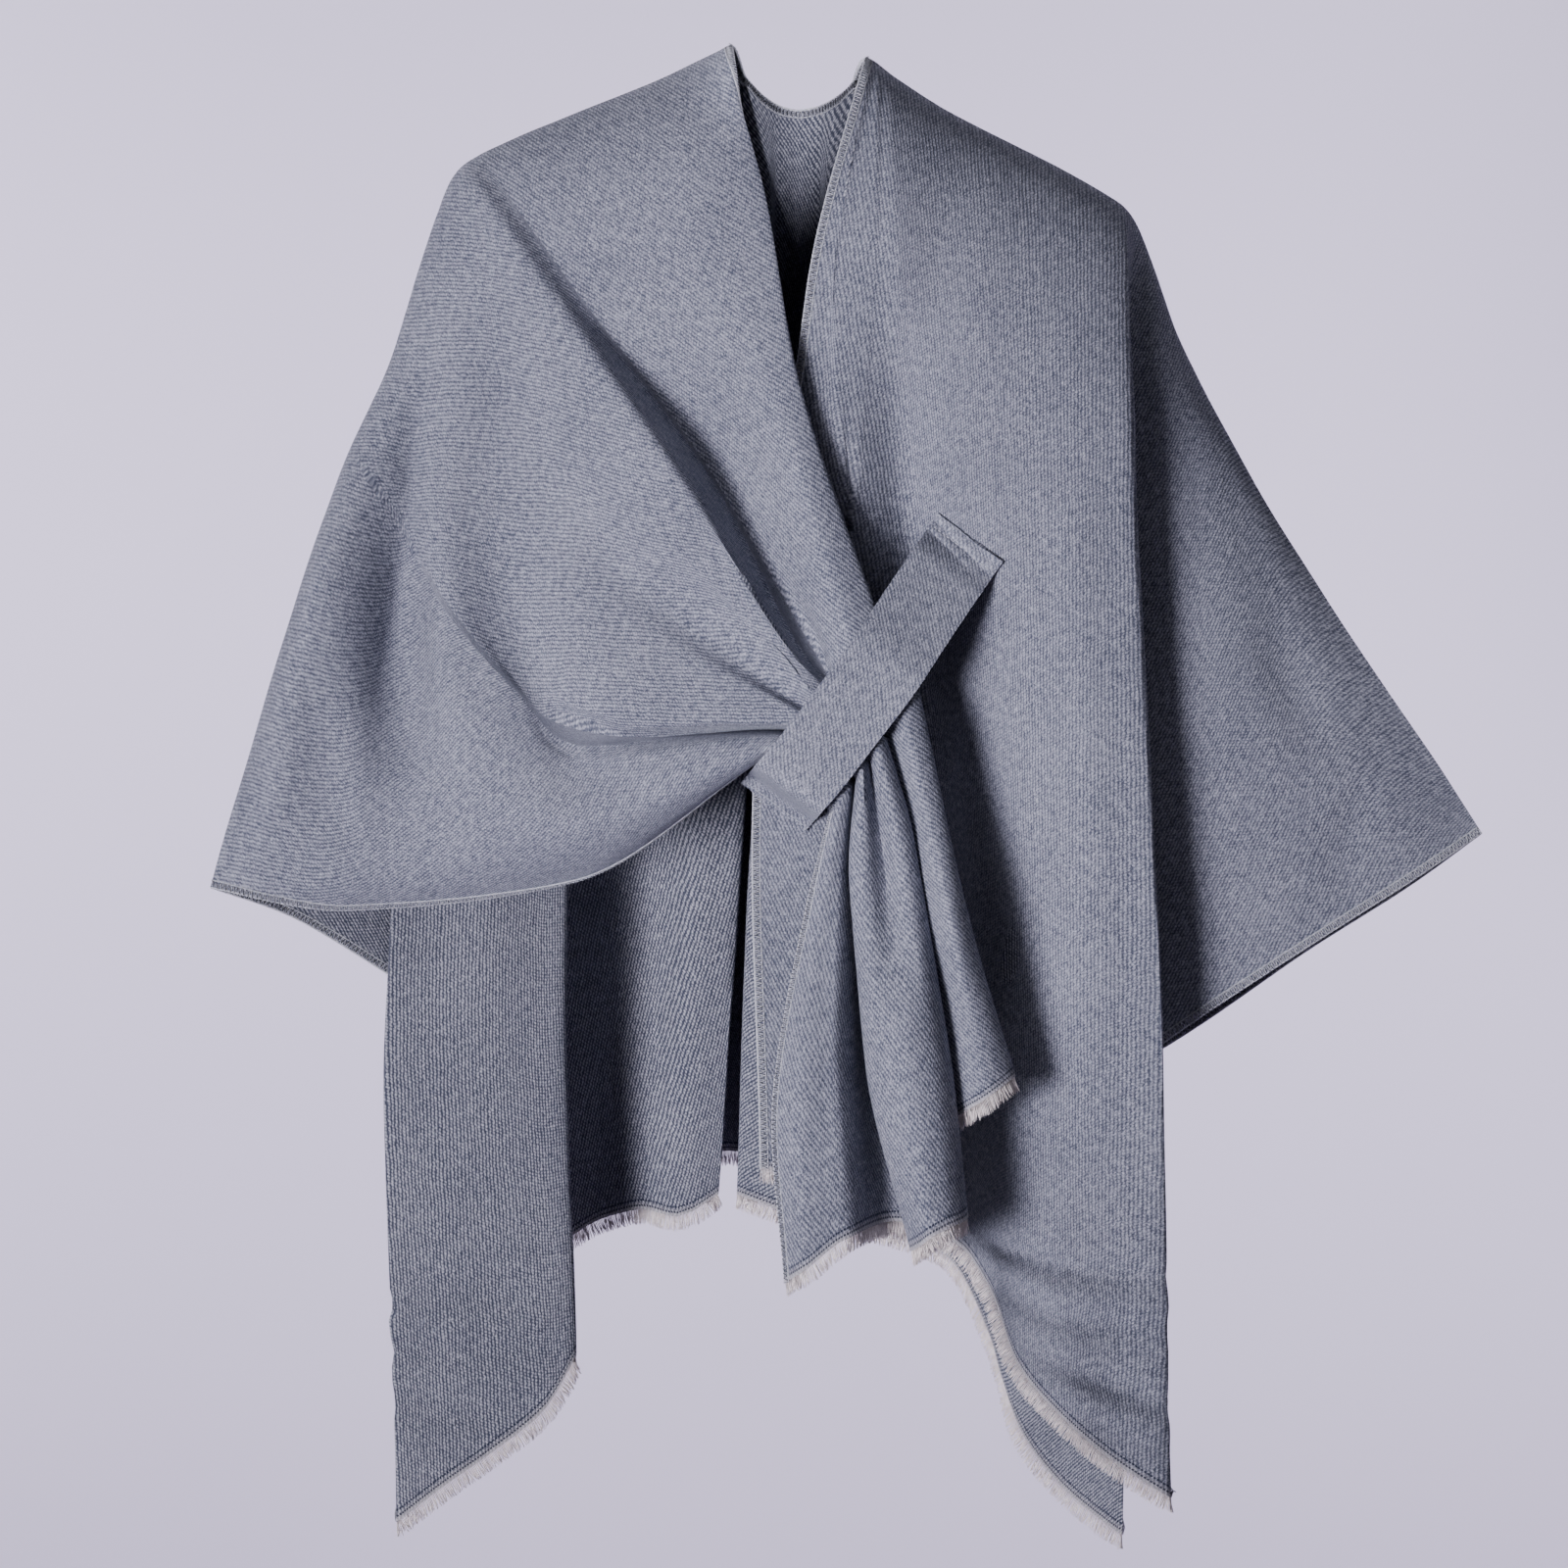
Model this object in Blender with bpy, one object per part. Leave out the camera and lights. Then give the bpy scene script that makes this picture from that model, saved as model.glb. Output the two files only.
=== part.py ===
"""Open-front wrap poncho: one oblong of twill, folded over the shoulders and slit up the front.

The wearer's right front is drawn through a strap loop sewn to the left front and hangs as a
pleated tail. Each stretch of the cloth is a thin wall through fold lines: a fold line starts on
the shoulder fold and runs down the cloth to its hem, its side edge or the strap.

Frame: +Z up, the front faces -Y, +X is the wearer's left. The origin is midway between the two
points of the neck, where the shoulders carry the wrap.
"""

import math

import bmesh
import bpy
import numpy as np

MM = 0.001                # the tables below are in millimetres
CLOTH = 2.0               # thickness of the brushed twill
SEAM = 0.3                # gap between neighbouring pieces
HALF_WIDTH = 688.0        # centre line to side edge, along the cloth
WING_TOP = 350.0          # where the last fold line of a wing leaves the shoulder fold
NECK_HALF = 41.0          # centre line to the point of the neck, on the shoulder fold
FRINGE = 10.0             # reach of the eyelash fringe below the hem
FRINGE_THICK = 1.4
FRINGE_GAP = 0.9          # from the hem to the start of its fringe
CHEST = 0.22              # how far down a fold line its first shape value lies, of its length
WAIST = 0.60              # and its second
ROLL_TOP = 1.5            # half the width of a rounded turn on the shoulder fold
ROLL_OPEN = 0.20          # how far down a fold line its turn is fully open

# The shoulder fold on each side, from the neck point over the shoulder to the wing tip.
# s is the distance along the cloth from its centre line.
#               s     x     y     z
RIGHT_RIDGE = ((41, -41, 6, 4),
               (110, -105, 4, -26),
               (185, -178, 2, -55),
               (223, -209, 0, -74),
               (262, -224, 0, -109),
               (348, -249, -4, -190),
               (420, -279, -8, -256),
               (553, -321, -12, -382),
               (688, -359, -14, -511))
LEFT_RIDGE = ((41, 41, 6, -4),
              (96, 87, 5, -34),
              (190, 171, 2, -78),
              (225, 201, 0, -98),
              (263, 216, 0, -131),
              (308, 231, 0, -172),
              (388, 267, 2, -244),
              (508, 330, 4, -346),
              (632, 399, 6, -448),
              (688, 418, 6, -478))
BACK_NECK = (58, -33)     # y and z of the middle of the back neck edge

# One row for each fold line. s: where it starts on the shoulder fold. x, y, z: its end.
# bow 1, bow 2: how far it leaves its straight run, seen from the front, at chest and waist.
# y 1, y 2: its depth there. roll: where the cloth doubles back, half the depth of its rounded
# turn, signed towards the layer that comes next.
LEFT_FRONT = (
    # name               s     x    y     z  bow1 bow2   y1   y2  roll
    ("front edge",      41, -23, -78, -681, -22, -27, -74, -66,  0),
    ("edge flat",       44,  32, -71, -688, -21, -27, -79, -65,  0),
    ("under turn",      47,  76, -60, -698, -18, -16, -84, -60, -2.4),
    ("inner lip",       51,   8, -84, -706,   7,  -6, -88, -78, -2.4),
    ("inner valley",    55,  46, -79, -714,   4,  -2, -92, -74,  0),
    ("panel 1",         59,  92, -88, -724,  -1,   4, -93, -71,  0),
    ("panel 2",        100, 116, -93, -754,   0,   0, -95, -68,  0),
    ("panel 3",        137, 132, -95, -798,   0,   0, -95, -73,  0),
    ("panel 4",        176, 160, -97, -832,   0,   0, -93, -86,  0),
    ("panel 5",        203, 190, -87, -858,   0,   2, -88, -94,  0),
    ("ridge",          219, 225, -70, -881,   0,   4, -79, -91,  2.8),
    ("under panel",    229, 148, -62, -778,   0,   0, -63, -78,  0),
    ("hidden turn",    239, 100, -52, -682,   0,   0, -51, -60,  2.8),
    ("wing 1",         250, 152, -44, -655,   0,   0, -43, -49,  0),
    ("wing 2",         263, 236, -40, -595,   0,   0, -38, -44,  0),
    ("wing 3",         284, 313, -30, -545,  -3,  -6, -29, -35,  0),
    ("wing 4",         312, 377, -14, -505,  -4,  -8, -14, -18,  0),
)
BACK = (
    # name               s     x    y     z  bow1 bow2   y1   y2  roll
    ("right wing 4",  -300, -315,  16, -527,  0,   0,  13,  14,  0),
    ("right wing 3",  -271, -254,  50, -564,  0,   0,  34,  42,  0),
    ("right wing 2",  -255, -202,  94, -600,  0,   0,  50,  74,  0),
    ("right turn",    -241, -150, 112, -645,  0,   0,  57,  88, -2.8),
    ("right under",   -228, -202,  76, -765,  0,   0,  45,  60,  0),
    ("right corner",  -215, -246,  30, -901, -8, -23,  33,  33, -2.8),
    ("right panel 3", -176, -219,  25, -880,  0, -20,  44,  35,  0),
    ("right panel 2", -130, -189,  27, -859,  0, -22,  58,  40,  0),
    ("right panel 1",  -95, -155,  32, -831,  0, -28,  69,  46,  0),
    ("right lip",      -72, -138,  42, -800,  0, -30,  76,  54,  2.8),
    ("right inner",    -60, -190,  60, -766,  6,  -8,  84,  68,  2.8),
    ("right back 3",   -50, -122, 120, -718,  0,   0, 100, 118,  0),
    ("right back 2",   -41,  -97, 112, -712,  0,   0, 100, 112,  0),
    ("right back 1",   -33,  -75,  92, -716,  0,   0,  96,  94,  0),
    ("right of pleat", -23,  -50,  97, -702, 12,   7,  93,  96,  2.4),
    ("pleat right",    -12,  -98, 150, -692, 11,  -2, 110, 136,  2.4),
    ("pleat crest",      0,  -44, 198, -678,  6,   0, 130, 172,  0),
    ("pleat left",      12,   14, 150, -690,  0,   0, 110, 136, -2.4),
    ("left of pleat",   23,  -38,  97, -702,  2, -11,  93,  96, -2.4),
    ("left back 1",     33,   10,  84, -718,  4,   0,  92,  86,  0),
    ("left back 2",     41,   48,  97, -724,  2,   0,  90,  96,  0),
    ("left back 3",     62,   92,  84, -740,  0,   0,  84,  88,  0),
    ("left panel 1",    92,  118,  60, -788,  0,   0,  75,  70,  0),
    ("left panel 2",   132,  136,  44, -844,  0,   0,  60,  54,  0),
    ("left panel 3",   178,  162,  36, -880,  0,   2,  45,  44,  0),
    ("left corner",    215,  198,  30, -909,  0,   4,  33,  35,  2.8),
    ("left under",     228,  152,  62, -770,  0,   0,  44,  54,  0),
    ("left turn",      240,  128,  84, -668,  0,   0,  56,  70,  2.8),
    ("left wing 2",    254,  239,  44, -601,  0,   0,  48,  54,  0),
    ("left wing 3",    270,  312,  28, -550, -3,  -6,  32,  38,  0),
    ("left wing 4",    300,  376,  18, -509, -5, -10,  15,  20,  0),
)

# The line across the strap where the drawn cloth is narrowest, and how deep it lies.
KNOT_TOP = (59, -371)
KNOT_BOTTOM = (3, -446)
# "at" is the place along that line, from its top end to its bottom end, where a fold line
# passes under the strap. y is its depth there.
RIGHT_FRONT = (
    # name               s    at     y  bow1 bow2   y1   y2
    ("neck edge",       41,  .18, -108,  -5, -18, -70, -98),
    ("lapel turn",      48, -.14, -112,   2,  -9, -80, -105),
    ("lapel crest",     84,  .12, -123,   1,   3, -84, -113),
    ("lapel side",     184,  .34, -118,   5,  20, -66, -88),
    ("deep valley",    204,  .38, -107,   1,   8, -60, -73),
    ("band lip",       221,  .43, -119,   0,  -1, -68, -112),
    ("band crest",     250,  .52, -124,  -1, -12, -62, -107),
    ("band valley",    290,  .62, -112, -11, -30, -49, -85),
    ("fold crest",     340,  .67, -119, -10, -31, -49, -89),
    ("fold lip",       386,  .74, -117, -35, -72, -54, -95),
    ("dark gap",       400,  .79, -106, -38, -76, -50, -84),
    ("roll lip",       418,  .84, -118, -42, -80, -52, -97),
    ("roll crest",     520,  .90, -124, -66, -74, -50, -98),
    ("roll bottom",    640,  .95, -114, -50, -56, -38, -75),
    ("side edge",      688,  .90, -105, -34, -50, -23, -52),
)
RIGHT_TAIL = (
    # name          at    x     y     z  bow1 bow2   y1   y2
    ("front edge",  .12, 130, -125, -630, -3,  -4, -114, -126),
    ("short crest", .29, 113, -142, -640, -1,   0, -124, -142),
    ("short side",  .46, 104, -124, -658,  6,   5, -111, -123),
    ("long side",   .51,  99, -137, -706,  7,   5, -118, -135),
    ("long crest",  .58,  88, -157, -717,  4,   3, -127, -154),
    ("slit side",   .73,  68, -138, -725, -8, -11, -119, -136),
    ("deep valley", .78,  54, -116, -720, -4,  -4, -107, -115),
    ("wide side",   .86,  28, -146, -722, -6,  -8, -121, -145),
    ("wide crest",  .95,   6, -152, -739, -7, -10, -124, -150),
    ("side edge",  1.04,  -8, -138, -748, -10, -18, -116, -135),
)

STRAP_WIDTH = 49.0
# Middle of the strap, from its upper sewn end over the drawn cloth to its lower sewn end.
#         x     y     z
STRAP = ((104, -91.2, -299),
         (99, -92.2, -306),
         (90, -98.5, -319),
         (79, -107.5, -335),
         (67, -117.5, -353),
         (52, -131, -376),
         (24, -131, -413),
         (4, -131, -439),
         (-3, -130, -447),
         (-6.5, -123, -451),
         (-7.5, -112, -452.5),
         (-8.2, -98, -453.3),
         (-9, -86, -454.1),
         (-10, -74, -455.1),
         (-11.5, -69.6, -456.8),
         (-15, -69.1, -461.5))

# Colour, roughness of each cloth surface.
TWILL = ((0.235, 0.275, 0.330), 0.92)
STRAP_TWILL = ((0.255, 0.295, 0.350), 0.92)
FRINGE_YARN = ((0.720, 0.660, 0.660), 0.95)


def clear_scene():
    for obj in list(bpy.data.objects):
        bpy.data.objects.remove(obj)


def make_material(name, finish):
    colour, roughness = finish
    material = bpy.data.materials.new(name)
    material.use_nodes = True
    shader = material.node_tree.nodes["Principled BSDF"]
    shader.inputs["Base Color"].default_value = (*colour, 1.0)
    shader.inputs["Roughness"].default_value = roughness
    shader.inputs["Metallic"].default_value = 0.0
    return material


def smooth_through(knots, values, where):
    """Smooth curve through values at knots, with no overshoot, read at each place in where."""
    knots = np.asarray(knots, float)
    values = np.asarray(values, float)
    step = np.diff(knots)
    shape = (-1,) + (1,) * (values.ndim - 1)
    slope = np.diff(values, axis=0) / step.reshape(shape)
    near = (2 * step[1:] + step[:-1]).reshape(shape)
    far = (step[1:] + 2 * step[:-1]).reshape(shape)
    product = slope[:-1] * slope[1:]
    same_way = product > 1e-12
    blend = np.where(same_way, near * slope[1:] + far * slope[:-1], 1)
    tangent = np.concatenate((slope[:1], slope[-1:]))
    inner = np.where(same_way, (near + far) * product / blend, 0)
    tangent = np.concatenate((tangent[:1], inner, tangent[1:]))
    where = np.asarray(where, float)
    i = np.clip(np.searchsorted(knots, where, side="right") - 1, 0, len(step) - 1)
    h = step[i].reshape(shape)
    t = ((where - knots[i]) / step[i]).reshape(shape)
    return ((2 * t**3 - 3 * t**2 + 1) * values[i] + (t**3 - 2 * t**2 + t) * h * tangent[i]
            + (3 * t**2 - 2 * t**3) * values[i + 1] + (t**3 - t**2) * h * tangent[i + 1])


def ridge_point(s):
    """Point of the shoulder fold, s along the cloth from its centre: right side negative."""
    table = np.array(LEFT_RIDGE if s > 0 else RIGHT_RIDGE, float)
    return smooth_through(table[:, 0], table[:, 1:], [abs(s)])[0]


def back_start(s):
    """Top of the back: the shoulder fold, or the scooped neck edge between its points."""
    if abs(s) >= NECK_HALF:
        return ridge_point(s)
    neck = ridge_point(math.copysign(NECK_HALF, s))
    scoop = math.cos(0.5 * math.pi * s / NECK_HALF)
    y = neck[1] + (BACK_NECK[0] - neck[1]) * scoop
    z = neck[2] + (BACK_NECK[1] - neck[2]) * scoop**0.6
    return np.array([s, y, z])


def knot_point(at, y, shift):
    """Point across the strap; shift moves it along the run of the drawn cloth."""
    top = np.array(KNOT_TOP, float)
    line = np.array(KNOT_BOTTOM, float) - top
    run = np.array([-line[1], line[0]]) / np.hypot(*line)
    x, z = top + line * at + run * shift
    return np.array([x, y, z])


def fold_line(start, end, bows, depths, places):
    """Points of one fold line, rounding off the shoulder before it hangs."""
    start = np.asarray(start, float)
    end = np.asarray(end, float)
    stations = (0, CHEST, WAIST, 1)
    run = (end - start)[[0, 2]]
    side = np.array([-run[1], run[0]]) / np.hypot(*run)
    bow = smooth_through(stations, (0, *bows, 0), places)
    flat = start[[0, 2]] + np.outer(places, run) + np.outer(bow, side)
    hang = smooth_through(stations, (depths[0], *depths, end[1]), places)
    near = np.clip(places / CHEST, 0, 1)
    crown = start[1] + (depths[0] - start[1]) * np.sqrt(near * (2 - near))
    depth = np.where(places < CHEST, crown, hang)
    return np.column_stack((flat[:, 0], depth, flat[:, 1]))


def places_along(count, bunch=1.5):
    """Places along a fold line, closer together at its start."""
    return np.linspace(0, 1, count) ** bunch


def across(lines, steps):
    """Grid of points through the fold lines, with steps columns for each gap between two."""
    lines = np.array(lines)
    gap = np.linalg.norm(np.diff(lines, axis=0), axis=2)
    knots = np.concatenate(([0], np.cumsum(np.sqrt(gap.mean(axis=1)))))
    where = np.interp(np.arange((len(lines) - 1) * steps + 1) / steps, np.arange(len(lines)), knots)
    return smooth_through(knots, lines, where)


def grid_normals(grid):
    normal = np.cross(np.gradient(grid, axis=0), np.gradient(grid, axis=1))
    return normal / np.linalg.norm(normal, axis=2, keepdims=True)


def lay_in_plane(normals, axis):
    """Turn edge normals square to axis, so that the edge's wall ends flat."""
    axis = np.asarray(axis, float) / np.linalg.norm(axis)
    level = normals - np.outer(normals @ axis, axis)
    return level / np.linalg.norm(level, axis=1, keepdims=True)


def wall_object(name, grid, normals, thick, material):
    """Closed wall of even thickness about a grid of points."""
    rows, columns = grid.shape[:2]
    near = grid + normals * thick / 2
    far = grid - normals * thick / 2
    count = rows * columns
    points = np.concatenate((near.reshape(-1, 3), far.reshape(-1, 3))) * MM
    index = np.arange(count).reshape(rows, columns)
    quads = []
    for i in range(rows - 1):
        for j in range(columns - 1):
            a, b, c, d = index[i, j], index[i + 1, j], index[i + 1, j + 1], index[i, j + 1]
            quads.append((a, b, c, d))
            quads.append((count + d, count + c, count + b, count + a))
    rim = np.concatenate((index[:-1, 0], index[-1, :-1], index[:0:-1, -1], index[0, :0:-1]))
    for a, b in zip(rim, np.roll(rim, -1)):
        quads.append((b, a, count + a, count + b))
    mesh = bpy.data.meshes.new(name)
    mesh.from_pydata(points.tolist(), [], [[int(k) for k in quad] for quad in quads])
    shell = bmesh.new()
    shell.from_mesh(mesh)
    bmesh.ops.recalc_face_normals(shell, faces=shell.faces)
    shell.to_mesh(mesh)
    shell.free()
    mesh.shade_smooth()
    mesh.set_sharp_from_angle(angle=math.radians(50))
    mesh.materials.append(material)
    obj = bpy.data.objects.new(name, mesh)
    bpy.context.scene.collection.objects.link(obj)
    return obj


def fringe_object(name, grid, normals, material):
    """Strip of the fringe's reach, hanging on from a panel's hem."""
    hem = grid[:, -1]
    along = np.gradient(hem, axis=0)
    fall = np.cross(along, normals[:, -1])
    fall = fall / np.linalg.norm(fall, axis=1, keepdims=True)
    fall = fall * np.sign((fall * (hem - grid[:, -2])).sum(axis=1))[:, None]
    fall = fall - (0, 0, 0.5)
    fall = fall / np.linalg.norm(fall, axis=1, keepdims=True)
    strip = np.stack((hem + fall * FRINGE_GAP, hem + fall * FRINGE), axis=1)
    end_normals = np.stack((normals[:, -1], normals[:, -1]), axis=1)
    return wall_object(name, strip, end_normals, FRINGE_THICK, material)


def turned_lines(rows, top_of, side, places):
    """Fold lines of a panel, two for each row where the cloth doubles back."""
    lines = []
    for name, s, x, y, z, bow1, bow2, y1, y2, roll in rows:
        for way in ((-1, 1) if roll else (0,)):
            start = top_of(s + way * ROLL_TOP) + np.array([0, side * SEAM / 2, 0])
            line = fold_line(start, (x, y, z), (bow1, bow2), (y1, y2), places)
            line[:, 1] += way * roll * np.clip(places / ROLL_OPEN, 0, 1)
            lines.append(line)
    return lines


def wing_top(side, way, places):
    """Last fold line of a wing, along the shoulder fold to the wing tip."""
    reach = WING_TOP + (HALF_WIDTH - WING_TOP) * places
    return np.array([ridge_point(way * s) + np.array([0, side * SEAM / 2, 0]) for s in reach])


def clear_of_fold(edge, normals, side):
    """Move an edge on the shoulder fold until its wall just clears the other side's."""
    edge[:, 1] += side * np.abs(normals[:, 1]) * CLOTH / 2


def left_front_grid():
    """Front panel, pleat and wing of the wearer's left, from front edge to shoulder fold."""
    places = places_along(13)
    lines = turned_lines(LEFT_FRONT, ridge_point, -1, places)
    lines.append(wing_top(-1, 1, places))
    grid = across(lines, 2)
    normals = grid_normals(grid)
    clear_of_fold(grid[:, 0], normals[:, 0], -1)
    clear_of_fold(grid[-1, 1:], normals[-1, 1:], -1)
    return grid, normals


def back_grid():
    """The whole back, from wing tip to wing tip."""
    places = places_along(13)
    lines = [wing_top(1, -1, places)]
    lines.extend(turned_lines(BACK, back_start, 1, places))
    lines.append(wing_top(1, 1, places))
    grid = across(lines, 2)
    normals = grid_normals(grid)
    clear_of_fold(grid[:, 0], normals[:, 0], 1)
    clear_of_fold(grid[0, 1:], normals[0, 1:], 1)
    clear_of_fold(grid[-1, 1:], normals[-1, 1:], 1)
    return grid, normals


def knot_run():
    line = np.array(KNOT_BOTTOM, float) - np.array(KNOT_TOP, float)
    return np.array([-line[1], 0, line[0]]) / np.hypot(*line)


def right_front_grid():
    """Wearer's right front, from the shoulder fold to the middle of the strap."""
    places = places_along(12, 1.25)
    lines = []
    for name, s, at, y, bow1, bow2, y1, y2 in RIGHT_FRONT:
        start = ridge_point(-s) - (0, SEAM / 2, 0)
        entry = knot_point(at, y, -STRAP_WIDTH / 2)
        line = fold_line(start, entry, (bow1, bow2), (y1, y2), places)
        lines.append(np.vstack((line, knot_point(at, y, -SEAM / 2))))
    grid = across(lines, 2)
    normals = grid_normals(grid)
    clear_of_fold(grid[:, 0], normals[:, 0], -1)
    normals[:, -1] = lay_in_plane(normals[:, -1], knot_run())
    return grid, normals


def right_tail_grid():
    """The rest of the right front, hanging in pleats below the strap."""
    places = places_along(9)
    lines = []
    for name, at, x, y, z, bow1, bow2, y1, y2 in RIGHT_TAIL:
        way_out = knot_point(at, y1, STRAP_WIDTH / 2)
        line = fold_line(way_out, (x, y, z), (bow1, bow2), (y1, y2), places)
        lines.append(np.vstack((knot_point(at, y1, SEAM / 2), line)))
    grid = across(lines, 2)
    normals = grid_normals(grid)
    normals[:, 0] = lay_in_plane(normals[:, 0], knot_run())
    return grid, normals


def strap_grid():
    """Flat strap bowed over the drawn cloth."""
    middle = np.array(STRAP, float)
    length = np.concatenate(([0], np.cumsum(np.linalg.norm(np.diff(middle, axis=0), axis=1))))
    path = smooth_through(length, middle, np.linspace(0, length[-1], 37))
    offsets = np.linspace(-0.5, 0.5, 3) * STRAP_WIDTH
    grid = path[:, None, :] + knot_run() * offsets[None, :, None]
    return grid, grid_normals(grid)


def edge_column(rows, name, before):
    """Grid column of a named fold line, with some lines before the table's first."""
    for row in rows:
        if row[0] == name:
            return 2 * before
        before += 2 if row[-1] else 1
    raise ValueError(name)


def build_wrap():
    clear_scene()
    twill = make_material("wrap_twill", TWILL)
    strap_twill = make_material("strap_twill", STRAP_TWILL)
    yarn = make_material("fringe_yarn", FRINGE_YARN)
    back, back_normals = back_grid()
    left, left_normals = left_front_grid()
    right, right_normals = right_front_grid()
    tail, tail_normals = right_tail_grid()
    strap, strap_normals = strap_grid()
    wall_object("back_panel", back, back_normals, CLOTH, twill)
    wall_object("left_front", left, left_normals, CLOTH, twill)
    wall_object("right_front", right, right_normals, CLOTH, twill)
    wall_object("right_front_tail", tail, tail_normals, CLOTH, twill)
    wall_object("strap_loop", strap, strap_normals, CLOTH, strap_twill)
    first = edge_column(BACK, "right corner", 1)
    last = edge_column(BACK, "left corner", 1) + 1
    fringe_object("fringe_back", back[first:last], back_normals[first:last], yarn)
    last = edge_column(LEFT_FRONT, "ridge", 0) + 1
    fringe_object("fringe_left_front", left[:last], left_normals[:last], yarn)
    fringe_object("fringe_right_front", tail, tail_normals, yarn)


build_wrap()
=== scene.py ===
import math

import bpy
import numpy as np
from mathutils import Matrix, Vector, noise


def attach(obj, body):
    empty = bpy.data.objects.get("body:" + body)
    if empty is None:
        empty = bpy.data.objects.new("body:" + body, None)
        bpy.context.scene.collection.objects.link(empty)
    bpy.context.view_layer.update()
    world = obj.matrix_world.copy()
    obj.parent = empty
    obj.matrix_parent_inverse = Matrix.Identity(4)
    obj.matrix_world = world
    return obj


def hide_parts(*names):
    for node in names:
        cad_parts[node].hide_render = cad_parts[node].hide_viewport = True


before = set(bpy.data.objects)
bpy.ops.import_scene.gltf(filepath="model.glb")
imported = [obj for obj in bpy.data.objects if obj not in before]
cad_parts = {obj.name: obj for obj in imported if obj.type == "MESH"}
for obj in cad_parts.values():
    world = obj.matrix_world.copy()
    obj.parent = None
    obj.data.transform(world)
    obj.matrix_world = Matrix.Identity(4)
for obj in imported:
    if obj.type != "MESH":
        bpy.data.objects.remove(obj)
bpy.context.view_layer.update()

bpy.ops.object.select_all(action="DESELECT")
mm = 0.001
chance = np.random.default_rng(11)
print("wrap poncho: frame loaded")


# shader helpers

class Wire:  # a socket that can be used in sums
    def __init__(self, finish, socket):
        self.finish, self.socket = finish, socket

    def sum(self, operation, *values):
        return self.finish.add("ShaderNodeMath", {"operation": operation}, values)

    def __add__(self, other):
        return self.sum("ADD", self, other)

    def __radd__(self, other):
        return self.sum("ADD", other, self)

    def __sub__(self, other):
        return self.sum("SUBTRACT", self, other)

    def __rsub__(self, other):
        return self.sum("SUBTRACT", other, self)

    def __mul__(self, other):
        return self.sum("MULTIPLY", self, other)

    def __rmul__(self, other):
        return self.sum("MULTIPLY", other, self)

    def __truediv__(self, other):
        return self.sum("DIVIDE", self, other)

    def wave(self):  # 0 to 1 and back, once for each 1 of this value
        return 0.5 + 0.5 * self.sum("SINE", self * (2 * math.pi))

    def abs(self):
        return self.sum("ABSOLUTE", self)

    def smooth(self, low, high):
        return self.finish.add("ShaderNodeMapRange", {"interpolation_type": "SMOOTHSTEP"},
                               {"Value": self, "From Min": low, "From Max": high})


class Finish:  # one material and its nodes
    def __init__(self, name):
        self.material = bpy.data.materials.new(name)
        self.material.use_nodes = True
        self.tree = self.material.node_tree
        self.shader = self.tree.nodes["Principled BSDF"]

    def add(self, kind, settings=None, inputs=None, output=0):
        node = self.tree.nodes.new(kind)
        for name, value in (settings or {}).items():
            setattr(node, name, value)
        for key, value in (inputs.items() if isinstance(inputs, dict) else enumerate(inputs or ())):
            self.feed(node.inputs[key], value)
        return Wire(self, node.outputs[output])

    def feed(self, socket, value):
        if isinstance(value, Wire):
            self.tree.links.new(value.socket, socket)
        else:
            socket.default_value = value

    def mix(self, amount, first, second):
        return self.add("ShaderNodeMix", {"data_type": "RGBA"}, {0: amount, 6: first, 7: second}, 2)

    def speckle(self, x, y, detail=2.0, roughness=0.5, z=0.0):
        place = self.add("ShaderNodeCombineXYZ", None, (x, y, z))
        return self.add("ShaderNodeTexNoise", None, {"Vector": place, "Scale": 1.0,
                                                     "Detail": detail, "Roughness": roughness})

    def surface(self, **sockets):
        for name, value in sockets.items():
            self.feed(self.shader.inputs[name.replace("_", " ")], value)
        return self.material


# cloth: fold lines, grids and shells

wrap = dict(            # lengths in mm
    thickness=1.7,
    halfWidth=688,      # centre line to side edge
    halfLength=705,     # shoulder fold to hem
    wingTop=350,        # last fold line of a wing leaves the shoulder fold here
    neckHalf=41,
    backNeck=(58, -33),     # y and z of the scoop's lowest point
    chest=0.22,         # parts of a fold line's length where its bows and depths are given
    waist=0.60,
    turnTop=1.5,        # the two lines of a turn stand this far either side of it at the top
    turnFlat=2,         # and this far on the flat cut at the hem
    turnOpen=0.20,      # part of its length over which a turn opens
    flap=(47, 51),      # turns of the front edge that stay shut at the top
    flapShut=0.42,      # down to this part of their length
    step=5.2,           # between columns
    rows=84,
    undulation=1.1,     # slight unevenness all over
)
# shoulder fold from the neck point to the wing tip: s along the cloth, then x, y, z
rightFold = ((41, -41, 6, 4), (110, -105, 4, -26), (185, -178, 2, -55), (223, -209, 0, -74),
             (262, -224, 0, -109), (348, -249, -4, -190), (420, -279, -8, -256),
             (553, -321, -12, -382), (688, -359, -14, -511))
leftFold = ((41, 41, 6, -4), (96, 87, 5, -34), (190, 171, 2, -78), (225, 201, 0, -98),
            (263, 216, 0, -131), (308, 231, 0, -172), (388, 267, 2, -244), (508, 330, 4, -346),
            (632, 399, 6, -448), (688, 418, 6, -478))


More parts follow.
